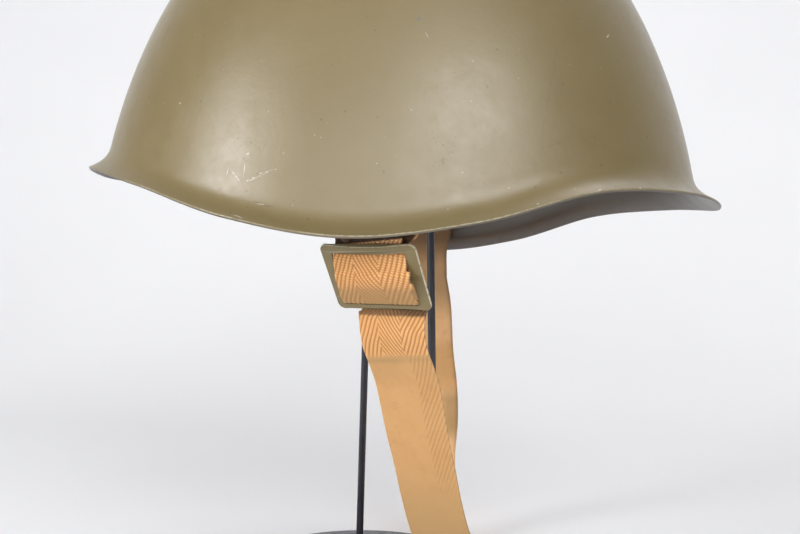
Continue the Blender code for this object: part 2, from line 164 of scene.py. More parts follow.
# The strap below the slider, round the foot of the stand and up the far side: x, y and height
# of the middle of the webbing, and the turn of its width in degrees.
STRAP_HANGING = (
    (0.0114, -0.0865, 0.8116, -17.9),
    (0.0114, -0.0825, 0.7510, -17.5),
    (0.0121, -0.0795, 0.7194, -17.0),
    (0.0134, -0.0760, 0.6871, -16.5),
    (0.0150, -0.0698, 0.6368, -16.0),
    (0.0160, -0.0620, 0.5677, -16.0),
    (0.0171, -0.0535, 0.4839, -16.0),
    (0.0192, -0.0435, 0.3806, -16.0),
    (0.0213, -0.0365, 0.2839, -16.0),
    (0.0246, -0.0305, 0.1858, -15.0),
    (0.0292, -0.0245, 0.1032, -8.0),
    (0.0340, -0.0150, 0.0503, 0.0),
    (0.0362, 0.0010, 0.0394, 4.0),
    (0.0325, 0.0180, 0.0394, 20.0),
    (0.0215, 0.0390, 0.0426, 24.0),
    (0.0128, 0.0560, 0.0723, 16.0),
    (0.0072, 0.0690, 0.1484, 7.0),
    (0.0048, 0.0790, 0.2710, 0.0),
    (0.0050, 0.0895, 0.3916, 0.0),
    (0.0040, 0.0950, 0.4903, 0.0),
    (0.0010, 0.1002, 0.6258, 0.0),
    (-0.0012, 0.1040, 0.8000, 0.0),
    (-0.0040, 0.1058, 0.9032, 0.0),
    (-0.0040, 0.1058, 1.0065, 0.0),
)

# Herringbone of the webbing: a rib's width, a thread's length along a rib, where the two
# borders between the three bands lie across the strap, and how the ribs lean.
RIB_PITCH = 0.00166
MIDDLE_RIB_PITCH = 0.00138
THREAD_PITCH = 0.00100
THREAD_SHIFT = 0.37
THREAD_SHARE = 0.75
LEFT_BORDER = -0.0055
RIGHT_BORDER = 0.0040
LEFT_LEAN = math.radians(21)
MIDDLE_LEAN = math.radians(-30)
RIGHT_LEAN = math.radians(22)
RIB_RELIEF = 0.00020
RIB_MIDDLE = 0.75
THREAD_MIDDLE = 0.6
# Painted shade in the grooves between the ribs and between the threads
GROOVE_SHADE = 0.84
THREAD_SHADE = 0.58
RUBBED_SMOOTH = 0.12
RUBBED_RIGHT = 0.62

# Unevenness of the webbing, in metres, and how many times it changes in a metre
WOBBLE = 0.0001
WOBBLE_PACE = 190
RIPPLE = 0.00005
RIPPLE_PACE = (300, 220)

# How strong the threads across the ribs are away from the slider, and the heights above the
# slider's middle between which they come to full strength
THREADS_AWAY = 0.25
THREADS_FROM = (-0.0135, -0.0095)

# The strap's near side is where y is less than this
NEAR_SIDE = -0.026

# Where the strap is creased, in height, how much the crease climbs for each metre to the right,
# and where its ribs are rubbed smooth below that
CREASE = 0.1105
CREASE_CLIMB = 0.05
RUBBED_BELOW = 0.060
RUBBED_END = 0.030

# How the webbing spreads in the slider's opening: its half width at the lower left, at the right
# in the plane of the plate, and how much wider it gets for each metre that it stands forward.
SPREAD_LOW_LEFT = 0.0161
SPREAD_RIGHT = 0.0159
SPREAD_HIGH_LEFT = 0.0004
SPREAD_FORWARD = 0.58

# How far the webbing shifts to the right: behind the slider's bottom bar, and above its top bar
# the sewn end and the layer in front of it
SHIFT_BEHIND_BAR = 0.0037
SHIFT_ABOVE_BAR = 0.0068
SHIFT_FRONT_LAYER = 0.0018

# Painted shade on the webbing. In front, the rim's painted shadow starts above a height at the middle
# of the webbing's run into the shell, rising to the right, and the bottom bar's painted shadow reaches
# down to a height under the slider's bottom bar.
RIM_SHADOW_ABOVE = 0.1543
RIM_SHADOW_SLOPE = 0.076
BAR_SHADOW_HEIGHTS = (0.1256, 0.1268)
BAR_SHADOW_BELOW = (0.0132, 0.0138)
# Painted shade over the sewn layer, but not over its right selvedge, which stays lit: distances in from
# the edge where the shade starts to fade and where it is gone
SEWN_SHADE_EDGE = (0.0014, 0.0006)

# Painted shade of the shell on the far stretch: strength, and heights of its start and full
FAR_SHELL_SHADE = ((0.38, 0.114, 0.134), (0.42, 0.144, 0.162))

# Where the far stretch has less painted light: middle height, and distances from it where the effect
# is full and where it ends. Then the same for the stain at its edge.
FAR_LESS_LIT = (0.089, 0.008, 0.018)
FAR_STAIN = (0.064, 0.006, 0.016)

# Painted shade in front: start, full, start of fading and end of two bands below the crease and of the
# one in the slider's opening, downward from the slider's middle. Then start and full of the others.
FOLD_SHADE = (-0.0008, 0.0008, 0.0018, 0.0042)
UNDER_CREASE_SHADE = (0.0, 0.002, 0.007, 0.015)
OPENING_SHADE = (-0.0035, 0.0070, 0.0140, 0.0160)
OPENING_SHADE_FORWARD = (-0.0030, -0.0010)
UNDER_CREASE_SHADE_LEFT = (-0.006, 0.004)
RUBBED_STAIN = (0.0, 0.004)
LOWEST_STAIN = (-0.075, -0.030)

# Strength of each stain and each painted shade
STAIN_AND_SHADE_SHARES = {
    "fold": 0.55,
    "under_crease": 0.35,
    "opening": 0.74,
    "rubbed": 0.28,
    "lowest": 0.62,
    "far_edge": 0.75,
    "far_patches": 0.35,
}

# Torn edge of the webbing in the slider's opening, seen at the right: photo row, and how far
# the edge is bitten in, in metres.
TORN_EDGE = (
    (257.0, 0.0000),
    (265.5, 0.0007),
    (270.9, 0.0012),
    (272.0, 0.0000),
    (274.9, 0.0002),
    (278.9, 0.0010),
    (283.6, 0.0011),
    (285.0, 0.0004),
    (288.3, 0.0001),
    (290.5, 0.0012),
    (295.0, 0.0014),
    (299.0, 0.0008),
    (302.7, 0.0000),
    (306.0, 0.0003),
)

# Colours, as red, green and blue in linear light
OLIVE = (0.208, 0.159, 0.072)
OLIVE_DEEP = (0.171, 0.128, 0.055)
# Painted shade over the shell's inside
INSIDE_PAINTED_SHADE = (0.066, 0.047, 0.030)
OLIVE_WORN = (0.50, 0.47, 0.36)
OLIVE_MARK = (0.075, 0.063, 0.035)
# Painted shade on the shell's cut edge
EDGE_PAINTED_SHADE = (0.165, 0.140, 0.095)
# Rubbed paint with a painted highlight on the slider's top and right cut edges
EDGE_RUBBED_HIGHLIGHT = (0.62, 0.57, 0.40)
METAL_CHIP = (0.12, 0.14, 0.16)
BARE_BRIGHT = (0.80, 0.78, 0.70)
COTTON = (0.72, 0.385, 0.150)
COTTON_DEEP = (0.34, 0.125, 0.038)
COTTON_PALE = (0.82, 0.52, 0.26)
# Stains on the webbing, and painted shade under its crease and low in the slider's opening
COTTON_STAIN_AND_SHADE = (0.43, 0.265, 0.115)
# Paler selvedges, and painted light on the fold over the top bar and on the far stretch
COTTON_PALER_LIT = (0.97, 0.58, 0.28)
# Painted shade on the webbing: shadows of the rim and the bottom bar, the sewn layer and the far
# stretch
COTTON_PAINTED_SHADE = (0.026, 0.014, 0.010)
DARK_PAINT = (0.028, 0.028, 0.036)
DARK_PAINT_PALER = (0.040, 0.040, 0.050)
PAPER_WHITE = (0.86, 0.86, 0.875)
PAPER_SHADE = (0.84, 0.84, 0.855)

# Surfaces: roughness, depth of the bumps in metres, and the shader's other levels
SHELL_GLOSS = 0.36
FITTING_GLOSS = 0.40
EDGE_ROUGHNESS = 0.38
COTTON_ROUGHNESS = 0.92
PAPER_ROUGHNESS = 0.85
PAINT_BUMP = 0.00009
COTTON_BUMP = 0.00014
STAND_BUMP = 0.00004
SHELL_LEVELS = {
    "Specular IOR Level": 0.88,
    "Sheen Weight": 0.30,
    "Sheen Roughness": 0.24,
    "Sheen Tint": (0.94, 0.97, 1.0),
}
FITTING_LEVELS = {"Specular IOR Level": 0.60}
COTTON_LEVELS = {"Specular IOR Level": 0.2, "Sheen Weight": 0.06, "Sheen Roughness": 0.6}

# Specks on the paint. Columns: cells in a metre, size, rarity, strength and colour.
PAINT_SPECKS = (
    (330.0, 0.09, 0.955, 0.55, OLIVE_MARK),
    (420.0, 0.08, 0.970, 0.40, OLIVE_WORN),
)

# Wear on the painted shell, by place in the photo. Each kind says its pattern, strength and colour.
# Columns of its places: pixel across, pixel down, half length and half width in pixels, and lean in
# degrees.
SHELL_MARKS = (
    ("whole", 0.45, OLIVE, (
        (244, 170, 14.0, 9.0, 0),
    )),
    ("whole", 0.55, OLIVE_MARK, (
        (224, 144, 2.0, 0.8, 70),
        (230, 147, 2.2, 0.8, 78),
        (234, 142, 2.2, 0.7, 60),
        (238.5, 138, 1.6, 0.6, 20),
        (241, 145.5, 1.8, 0.7, 35),
        (246, 142.5, 2.2, 0.7, -20),
        (251, 143, 1.8, 0.7, -40),
        (255.5, 145.5, 1.8, 0.7, -48),
        (259.5, 148, 1.4, 0.6, 40),
        (246.5, 191, 1.5, 0.8, 35),
        (251.5, 188.4, 1.2, 0.7, 20),
        (257.5, 202.2, 6.5, 0.6, -12),
        (268, 206, 7.5, 0.6, -6),
        (236, 219.6, 8.0, 0.8, -17),
        (565, 200, 2.4, 0.8, 20),
    )),
    ("whole", 0.26, BARE_BRIGHT, (
        (248, 154, 1.8, 1.4, 0),
    )),
    ("dotted", 0.60, OLIVE_MARK, (
        (457, 80, 9, 3.6, -24),
        (337, 70, 8, 2.6, 10),
        (440, 150, 26, 24, 0),
        (475, 185, 26, 7, 0),
    )),
    ("broken", 0.32, OLIVE_MARK, (
        (549, 95, 60, 0.6, 82),
        (556, 144, 13, 0.6, 20),
        (545, 152, 9, 0.6, -60),
        (300, 66, 14, 0.5, 12),
        (510, 60, 9, 0.5, 35),
    )),
    ("broken", 0.36, BARE_BRIGHT, (
        (235.2, 175.8, 10.0, 0.65, -51),
        (258.5, 176.4, 18.5, 0.65, 22.7),
        (227.7, 172, 4.6, 0.55, 72),
        (244, 169.5, 9.0, 0.7, 86),
        (260.5, 204, 6.0, 0.5, -12),
        (427, 35, 5, 0.6, -60),
    )),
    ("whole", 0.90, METAL_CHIP, (
        (419, 19, 2.6, 1.6, 40),
    )),
    ("whole", 0.42, BARE_BRIGHT, (
        (247.5, 180.5, 1.5, 0.6, 23),
        (253, 177.5, 1.3, 0.6, 23),
        (260.5, 173.2, 1.5, 0.6, 23),
        (266.5, 172.3, 1.3, 0.6, 10),
        (275.5, 169.3, 1.3, 0.6, 23),
        (238, 216.6, 7.0, 0.45, -16),
        (538, 204, 1.4, 0.7, 8),
        (600, 190, 1.6, 0.8, 8),
        (640, 188, 1.4, 0.7, 0),
        (608, 36, 2.6, 0.9, 58),
        (180, 103, 1.2, 0.9, 0),
    )),
)
MARK_SHAKE = 0.0011
MARK_DEPTH = 10.0

# Layers of the webbing's colour. Columns: pattern, where it starts, where it is full, strength
# and colour.
COTTON_LAYERS = (
    ("tone", 0.35, 0.75, 0.22, COTTON_PALE),
    # Painted shade in the grooves of the weave
    ("groove_shade", 0.12, 0.80, 0.88, COTTON_DEEP),
    ("fuzz", 0.58, 0.78, 0.35, COTTON_PALE),
    ("fuzz", 0.42, 0.26, 0.30, COTTON_DEEP),
    ("mottle", 0.48, 0.75, 0.20, COTTON_DEEP),
)

# Floor and backdrop
FLOOR_HALF = 3.2
FLOOR_FRONT = -2.6
FLOOR_BACK = 0.42
BACKDROP_ROUND = 0.55
BACKDROP_TOP = 3.4

# Soft boxes round the helmet. Columns: name, direction from the point that they face, distance,
# width and height, and power in watts.
LIGHT_TARGET = Vector((0.0, 0.0, 0.20))
SOFT_BOXES = (
    ("left_box", (-0.72, -0.60, 0.19), 1.5, (0.40, 0.90), 13.0),
    ("right_box", (0.42, -0.80, 0.50), 1.7, (1.00, 0.65), 10.4),
    ("back_box", (0.10, 0.45, 1.00), 1.8, (1.40, 1.00), 14.5),
    ("wide_box", (0.10, -1.00, 0.30), 1.9, (1.60, 0.70), 10.0),
)
SURROUND = 0.47
SURROUND_COLOR = (0.97, 0.98, 1.0)
SURROUND_EDGES = (-0.7, -0.2)


class Graph:
    """Short calls for the nodes of a material or of the world."""

    def __init__(self, owner, place="Object"):
        owner.use_nodes = True
        self.owner = owner
        self.tree = owner.node_tree
        self.place = self.node("TexCoord").outputs[place]

    def node(self, kind, inputs=None, **settings):
        """A new node with its settings, and its inputs fed by name or number."""
        made = self.tree.nodes.new("ShaderNode" + kind)
        for key, value in settings.items():
            setattr(made, key, value)
        self.fill(made, inputs or {})
        return made

    def fill(self, node, inputs):
        for key, value in inputs.items():
            self.feed(node.inputs[key], value)

    def feed(self, socket, value):
        if isinstance(value, bpy.types.NodeSocket):
            self.tree.links.new(value, socket)
        elif hasattr(socket.default_value, "__len__") and len(socket.default_value) == 4:
            socket.default_value = (*value, 1.0)
        else:
            socket.default_value = value

    def math(self, operation, *values):
        return self.node("Math", dict(enumerate(values)), operation=operation).outputs[0]

    def times(self, *values):
        product = values[0]
        for value in values[1:]:
            product = self.math("MULTIPLY", product, value)
        return product

    def vector_math(self, operation, inputs, output="Vector"):
        return self.node("VectorMath", inputs, operation=operation).outputs[output]

    def part(self, axis):
        """The coordinate along X, Y or Z."""
        return self.node("SeparateXYZ", {0: self.place}).outputs[axis]

    def noise(self, scale, detail=2.0, roughness=0.5, vector=None, output="Fac"):
        place = self.place if vector is None else vector
        inputs = {"Scale": scale, "Detail": detail, "Roughness": roughness, "Vector": place}
        return self.node("TexNoise", inputs).outputs[output]

    def spread(self, value, low, high, to_low=0.0, to_high=1.0):
        """A smooth change from to_low at low to to_high at high."""
        inputs = dict(enumerate((value, low, high, to_low, to_high)))
        return self.node("MapRange", inputs, interpolation_type="SMOOTHSTEP").outputs[0]

    def mix(self, share, first, second):
        return self.node("Mix", {0: share, 6: first, 7: second}, data_type="RGBA").outputs[2]

    def layer(self, color, pattern, low, high, strength, shade):
        """A shade over a colour, from nothing where a pattern is low to its strength where high."""
        return self.mix(self.spread(pattern, low, high, 0.0, strength), color, shade)

    def attribute(self, name):
        return self.node("Attribute", attribute_name=name).outputs["Fac"]

    def bump(self, height, distance):
        return self.node("Bump", {"Distance": distance, "Height": height}).outputs["Normal"]

    def finish(self, color, roughness, others):
        """The material, with its colour, roughness and the shader's other inputs."""
        inputs = {"Base Color": color, "Roughness": roughness, **others}
        self.fill(self.tree.nodes["Principled BSDF"], inputs)
        return self.owner


# Camera and photo

def camera_axes():
    """Right, up and forward directions of the camera."""
    forward = Vector((-math.sin(CAMERA_YAW), math.cos(CAMERA_YAW), 0.0))
    level_right = Vector((math.cos(CAMERA_YAW), math.sin(CAMERA_YAW), 0.0))
    level_up = Vector((0.0, 0.0, 1.0))
    right = level_right * math.cos(CAMERA_ROLL) + level_up * math.sin(CAMERA_ROLL)
    up = level_up * math.cos(CAMERA_ROLL) - level_right * math.sin(CAMERA_ROLL)
    return right, up, forward


def frame_matrix(axes, origin):
    """A placement from three axes and an origin."""
    matrix = Matrix(axes).transposed().to_4x4()
    matrix.translation = origin
    return matrix


def add_object(name, data):
    """A new object in the scene."""
    made = bpy.data.objects.new(name, data)
    bpy.context.scene.collection.objects.link(made)
    return made


def place_camera():
    """The camera at the photo's viewpoint."""
    data = bpy.data.cameras.new("photo_camera")
    data.lens = CAMERA_LENS
    data.sensor_width = CAMERA_SENSOR
    data.clip_start = 0.01
    camera = add_object("photo_camera", data)
    right, up, forward = camera_axes()
    camera.matrix_world = frame_matrix((right, up, -forward), CAMERA_PLACE)
    bpy.context.scene.camera = camera


def photo_ray(across, down):
    """Direction from the camera through a pixel of the photo."""
    right, up, forward = camera_axes()
    to_right = (across - PHOTO_WIDTH / 2) / FOCAL_PIXELS
    upward = (PHOTO_HEIGHT / 2 - down) / FOCAL_PIXELS
    return (forward + right * to_right + up * upward).normalized()


def photo_row(point):
    """The row of the photo at which a point shows."""
    _, up, forward = camera_axes()
    offset = point - CAMERA_PLACE
    return PHOTO_HEIGHT / 2 - FOCAL_PIXELS * offset.dot(up) / offset.dot(forward)


def on_shell(across, down):
    """The point of the shell at a pixel of the photo, and how far it is from the camera."""
    ray = photo_ray(across, down)
    inside, furthest, step = 0.30, 0.60, 0.004
    while not inside_shell(CAMERA_PLACE + ray * inside) and inside < furthest:
        inside += step
    outside = inside - step
    for _ in range(12):
        middle = (outside + inside) / 2
        if inside_shell(CAMERA_PLACE + ray * middle):
            inside = middle
        else:
            outside = middle
    return CAMERA_PLACE + ray * inside, inside


# Shell

def smooth_curve(points, share):
    """Catmull-Rom through four values, at a share between the middle two."""
    a, b, c, d = points
    return 0.5 * (
        2 * b
        + (c - a) * share
        + (2 * a - 5 * b + 4 * c - d) * share ** 2
        + (3 * b - a - 3 * c + d) * share ** 3
    )


def rim_sizes(angle):
    """Height of the rim, flare outward and height of the flared band, at an angle from the front."""
    degrees = math.degrees(math.acos(max(-1.0, min(1.0, math.cos(angle)))))
    last = len(RIM_ROWS) - 1
    step = RIM_ROWS[last][0] / last
    index = min(int(degrees / step), last - 1)
    share = degrees / step - index
    rows = [RIM_ROWS[last - abs(last - abs(index + k))] for k in (-1, 0, 1, 2)]
    rise, flare, band = (smooth_curve([row[column] for row in rows], share) for column in (1, 2, 3))
    return RIM_LOW + rise * RIM_RISE, flare * FLARE, band * FLARE_BAND


def dome_share(height):
    """Width of the dome at a height, as a share of its width at the waist."""
    level = min(1.0, abs(height - WAIST) / DOME_TALL)
    return (1 - level ** DOME_POWER) ** (1 / DOME_POWER)


def dome_radius(angle, height):
    """Radius of the plain dome, without its flare."""
    length = DOME_FRONT if math.cos(angle) > 0 else DOME_BACK
    along = abs(math.cos(angle)) / length
    across = abs(math.sin(angle)) / DOME_SIDE
    return dome_share(height) / (along ** DOME_POWER + across ** DOME_POWER) ** (1 / DOME_POWER)


def shell_radius(angle, height):
    """Radius of the outside of the shell."""
    rim, flare, band = rim_sizes(angle)
    near_rim = min(1.0, max(0.0, 1 - (height - rim) / band))
    return dome_radius(angle, height) + flare * near_rim ** FLARE_POWER


def inside_shell(point):
    """True for a point behind the outer surface of the shell."""
    angle = math.atan2(point.y, -point.x)
    return math.hypot(point.x, point.y) < shell_radius(angle, point.z)


def dent(point):
    """How far the uneven surface stands off the plain dome at a point."""
    wide = noise.noise(point * DENT_WIDE)
    close = noise.noise(point * DENT_CLOSE + Vector((3.1, 0.0, 0.0)))
    return DENT_DEPTH * (wide + DENT_CLOSE_SHARE * close)


def shell_point(angle, height):
    """A point on the outside of the shell."""
    radius = shell_radius(angle, height)
    return Vector((-radius * math.cos(angle), radius * math.sin(angle), height))


def shell_normal(angle, height):
    """Outward direction of the shell's outside."""
    small = 0.0002
    around = shell_point(angle + small, height) - shell_point(angle - small, height)
    upward = shell_point(angle, height + small) - shell_point(angle, height)
    return upward.cross(around).normalized()


def shell_levels(angle):
    """Heights of the shell's rows at an angle, from the rim almost to the crown."""
    rim, _, band = rim_sizes(angle)
    shares = [row / SHELL_STEPS_FLARE for row in range(SHELL_STEPS_FLARE)]
    levels = [rim + band * share ** FLARE_ROWS_POWER for share in shares]
    start = math.asin((rim + band - WAIST) / DOME_TALL)
    for row in range(SHELL_STEPS_DOME):
        turn = start + (math.pi / 2 - start) * row / SHELL_STEPS_DOME
        levels.append(WAIST + DOME_TALL * math.sin(turn))
    return levels


def shell_column(angle):
    """Points down the outside, round the cut edge and up the inside, with their wear and depth."""
    outside = []
    for height in shell_levels(angle):
        point = shell_point(angle, height)
        normal = shell_normal(angle, height)
        outside.append((point + normal * dent(point), normal))
    edge, edge_normal = outside[0]
    downward = (edge - outside[1][0]).normalized()

    def wear(point):
        return max(0.0, 1 - (point - edge).length / WORN_BAND)

    column = [(point, wear(point), 0.0) for point, _ in reversed(outside[1:])]
    for reach, depth in EDGE_ROWS:
        point = edge + downward * reach * EDGE_ROUND - edge_normal * depth * STEEL
        column.append((point, 1.0, depth))
    column += [(point - normal * STEEL, wear(point), 1.0) for point, normal in outside[1:]]
    return column


def build_shell(material):
    """The pressed steel shell with its rounded cut edge."""
    builder = bmesh.new()
    worn = builder.verts.layers.float.new("worn")
    inner = builder.verts.layers.float.new("inner")
    grid = []
    for i in range(SHELL_STEPS_AROUND):
        line = []
        for point, wear, depth in shell_column(2 * math.pi * i / SHELL_STEPS_AROUND):
            vertex = builder.verts.new(point)
            vertex[worn] = wear
            vertex[inner] = depth
            line.append(vertex)
        grid.append(line)
    pairs = list(zip(grid, grid[1:] + grid[:1]))
    for here, beside in pairs:
        for k in range(len(here) - 1):
            builder.faces.new((here[k], here[k + 1], beside[k + 1], beside[k]))
    for end, height in ((0, WAIST + DOME_TALL), (-1, WAIST + DOME_TALL - STEEL)):
        crown = builder.verts.new((0.0, 0.0, height))
        for here, beside in pairs:
            builder.faces.new((here[end], beside[end], crown))
    return finish_piece("shell_finish", builder, material)


def skin(builder, rings):
    """Faces between rings of as many points each, and one face over each end."""
    for lower, upper in zip(rings, rings[1:]):
        for i in range(len(lower)):
            j = (i + 1) % len(lower)
            builder.faces.new((lower[i], lower[j], upper[j], upper[i]))
    builder.faces.new(rings[0])
    builder.faces.new(rings[-1])


def round_piece(name, material, start, axes, profile, count):
    """A closed round piece from pairs of distance from its axis and distance along it."""
    across, other, along = axes
    builder = bmesh.new()
    rings = []
    for radius, distance in profile:
        ring = []
        for i in range(count):
            turn = 2 * math.pi * i / count
            offset = (across * math.cos(turn) + other * math.sin(turn)) * radius
            ring.append(builder.verts.new(start + along * distance + offset))
        rings.append(ring)
    skin(builder, rings)
    return finish_piece(name, builder, material)


def finish_piece(name, builder, *materials):
    """One closed piece from a bmesh, with its faces turned outward."""
    bmesh.ops.recalc_face_normals(builder, faces=builder.faces)
    if builder.calc_volume(signed=True) < 0:
        bmesh.ops.reverse_faces(builder, faces=builder.faces)
    return new_object(name, builder, *materials)


def new_object(name, builder, *materials):
    """A smooth object from a bmesh, in the scene."""
    for face in builder.faces:
        face.smooth = True
    mesh = bpy.data.meshes.new(name)
    builder.to_mesh(mesh)
    builder.free()
    for material in materials:
        mesh.materials.append(material)
    return add_object(name, mesh)


# Slider and strap route

def slider_axes():
    """Width, upward and face directions of the slider."""
    width = Vector((math.cos(SLIDER_TURN), math.sin(SLIDER_TURN), 0.0))
    outward = Vector((math.sin(SLIDER_TURN), -math.cos(SLIDER_TURN), 0.0))
    face = outward * math.cos(SLIDER_TUCK) - Vector((0.0, 0.0, math.sin(SLIDER_TUCK)))
    return width, face.cross(width), face


def slider_bow(across, up):
    """How far the slider's face stands forward, most at the middle of its top bar."""
    return SLIDER_BOW * (1 - (2 * across / SLIDER_WIDTH) ** 2) * (0.5 + up / SLIDER_HEIGHT)


def dome_side(x, height):
    """Distance of the plain dome from the middle plane, at a place along it."""
    length = DOME_FRONT if x < 0 else DOME_BACK
    along = abs(x) / (length * dome_share(height))
    return DOME_SIDE * dome_share(height) * (1 - along ** DOME_POWER) ** (1 / DOME_POWER)


def bracket_places(side):
    """X of a bracket, and y of the middle of its slot and of its bar."""
    middle_x = LEFT_BRACKET_X if side < 0 else RIGHT_BRACKET_X
    wall = side * (dome_side(middle_x, BRACKET_LEVEL) - STEEL - SEAT_GAP)
    slot = STRAP_THICK + 2 * BRACKET_PLAY
    slot_middle = wall - side * (BRACKET_WALL + slot / 2)
    bar_middle = slot_middle - side * (slot / 2 + BRACKET_BAR / 2)
    return middle_x, slot_middle, bar_middle


def slider_route(pairs, shift=0.0):
    """Strap rows, in the middle of the opening, from pairs of upward and forward distances."""
    width, up, face = slider_axes()
    middle = SLIDER_CENTRE + width * ((SLIDER_LEFT_BAR - SLIDER_RIGHT_BAR) / 2 + shift)
    turn = math.degrees(SLIDER_TURN)
    return [(*(middle + up * upward + face * forward), turn) for upward, forward in pairs]


def round_corner(corner, radius, angles):
    """Points on an arc about a corner, at angles in degrees from the first axis to the second."""
    turns = [math.radians(angle) for angle in angles]
    return [
        (corner[0] + radius * math.cos(turn), corner[1] + radius * math.sin(turn)) for turn in turns
    ]


def bracket_loop(side):
    """Strap rows over a bracket's bar, from the side away from the shell to the side next to it."""
    middle_x, slot_middle, bar_middle = bracket_places(side)
    top = BRACKET_LEVEL + BRACKET_HEIGHT / 2
    bottom = BRACKET_LEVEL - BRACKET_HEIGHT / 2
    half_bar = BRACKET_BAR / 2
    inner = -half_bar - STRAP_REACH
    slot = abs(slot_middle - bar_middle)
    pairs = [(inner, bottom - STRAP_THICK), (inner, bottom)]
    pairs += round_corner((-half_bar, top), STRAP_REACH, (180, 135, 90))
    pairs += round_corner((half_bar, top), STRAP_REACH, (90, 45, 0))
    pairs += [(slot, bottom), (slot, bottom - STRAP_THICK)]
    return [(middle_x, bar_middle + side * outward, height, 0.0) for outward, height in pairs]


def far_sewn_end():
    """Strap rows of the far end, which lies along the strap behind it and is sewn to it."""
    last_rows = from_rim_heights(STRAP_HANGING[-2:])
    return [(x, y + STRAP_STEP, z, turn) for x, y, z, turn in reversed(last_rows)]


def strap_route():
    """The whole strap as rows of x, y, z and turn: sewn end, slider, loop and far end."""
    step = STRAP_STEP
    reach = STRAP_REACH
    bar = SLIDER_MIDDLE_BAR / 2
    opening = SLIDER_HEIGHT / 2 - SLIDER_TOP_BAR
    foot = SLIDER_BOTTOM_BAR - SLIDER_HEIGHT / 2
    edge = SLIDER_HEIGHT / 2
    back = -SLIDER_PLATE / 2
    front = SLIDER_PLATE / 2 + SLIDER_BOW / 2
    behind = back - reach
    sewn_end = [(opening - SEWN_EDGE_INSIDE, behind - 0.2 * step)]
    sewn_end += [(opening - SEWN_STITCH_INSIDE, behind + 0.2 * step)]
    sewn_end += round_corner((bar, front), reach, (-30, 0, 45, 90))
    sewn_end += round_corner((-bar, front), reach, (90, 135, 180))
    sewn_end += round_corner((-bar, back), reach, (180, 225, 270))
    sewn_end += [(bar, behind - 0.3 * step), (opening - SEWN_STITCH_INSIDE, behind - step)]
    sewn_end += [(opening - SEWN_SECOND_INSIDE, behind - 1.4 * step)]
    above = [(edge + SEWN_ABOVE_SLIDER, behind - 1.4 * step)]
    turned = [(edge + FRONT_LAYER_ABOVE_SLIDER, behind)]
    woven = round_corner((opening, back), reach, (270, 225, 180))
    woven += round_corner((bar, front), reach + step, (40, 65, 90))
    woven += round_corner((-bar, front), reach + step, (95, 118))
    woven += [(BULGE_UP, BULGE_FORWARD)]
    woven += round_corner((foot, back), reach, (30, 0, -45, -90))
    below = [(-edge, behind)]
    return (
        slider_route(sewn_end)
        + slider_route(above, SHIFT_ABOVE_BAR)
        + bracket_loop(-1)
        + from_rim_heights([STRAP_TWIST])
        + slider_route(turned, SHIFT_FRONT_LAYER)
        + slider_route(woven)
        + slider_route(below, SHIFT_BEHIND_BAR)
        + from_rim_heights(STRAP_HANGING)
        + bracket_loop(1)
        + far_sewn_end()
    )


def from_rim_heights(rows):
    """Strap rows with their heights worked out from the rim, and never inside the foot of the stand."""
    lowest = BASE_THICK + GAP + STRAP_THICK / 2
    return [(x, y, max(share * RIM_LOW, lowest), turn) for x, y, share, turn in rows]


def sample_route(rows):
    """Rows along a smooth curve through the given rows, closest together where ribs show."""
    pairs = list(zip(rows, rows[1:]))
    turnover = max(range(len(rows) // 2), key=lambda i: rows[i][2])
    lengths = [(Vector(after[:3]) - Vector(before[:3])).length for before, after in pairs]
    steps = [
        [(after[c] - before[c]) / length for c in range(4)]
        for (before, after), length in zip(pairs, lengths)
    ]
    slopes = [steps[0]]
    for i in range(1, len(steps)):
        share = lengths[i - 1] / (lengths[i - 1] + lengths[i])
        slopes.append([steps[i - 1][c] * (1 - share) + steps[i][c] * share for c in range(4)])
    slopes.append(steps[-1])
    samples = []
    for i, (before, after) in enumerate(pairs):
        spacing = STRAP_SPACING_FAR
        if i >= turnover and before[1] < NEAR_SIDE:
            spacing = STRAP_SPACING_CLOSE if before[2] > CREASE - 0.002 else STRAP_SPACING_RUBBED
        count = max(1, round(lengths[i] / spacing))
        for k in range(count):
            s = k / count
            samples.append([
                before[c] * (1 + 2 * s) * (1 - s) ** 2
                + slopes[i][c] * lengths[i] * s * (1 - s) ** 2
                + after[c] * s ** 2 * (3 - 2 * s)
                + slopes[i + 1][c] * lengths[i] * s ** 2 * (s - 1)
                for c in range(4)
            ])
    samples.append(list(rows[-1]))
    return samples


def strap_rings(samples):
    """Centre, half width and half thickness directions of the webbing at each sample."""
    points = [Vector(row[:3]) for row in samples]
    last = len(points) - 1
    rings = []
    for index, point in enumerate(points):
        along = (points[min(index + 1, last)] - points[max(index - 1, 0)]).normalized()
        turn = math.radians(samples[index][3])
        level = Vector((math.cos(turn), math.sin(turn), 0.0))
        square = (level - along * level.dot(along)).normalized()
        sheared = ramp(-(point - SLIDER_CENTRE).length, -0.024, -0.017)
        width = square.lerp(level, sheared).normalized()
        rings.append((point, width, along.cross(width).normalized()))
    return rings


def ramp(value, low, high):
    """Smooth rise from 0 at low to 1 at high."""
    share = max(0.0, min(1.0, (value - low) / (high - low)))
    return share * share * (3 - 2 * share)


def rise_and_fall(value, start, full, fading, end):
    """Smooth rise from start to full, and smooth fall from fading to end."""
    return ramp(value, start, full) * (1 - ramp(value, fading, end))


def close_to(value, middle, full, end):
    """1 up to a full distance from the middle, and smoothly down to 0 at the end distance."""
    return ramp(-abs(value - middle), -end, -full)


def in_slider(point):
    """Across, upward and forward distances of a point from the middle of the slider."""
    width, up, face = slider_axes()
    offset = point - SLIDER_CENTRE
    return offset.dot(width), offset.dot(up), offset.dot(face)


def torn_bite(point):
    """How far the torn right edge is bitten in at a point in the opening."""
    row = photo_row(point)
    for (before, first), (after, second) in zip(TORN_EDGE, TORN_EDGE[1:]):
        if before <= row < after:
            return first + (second - first) * (row - before) / (after - before)
    return TORN_EDGE[0][1] if row < TORN_EDGE[0][0] else TORN_EDGE[-1][1]


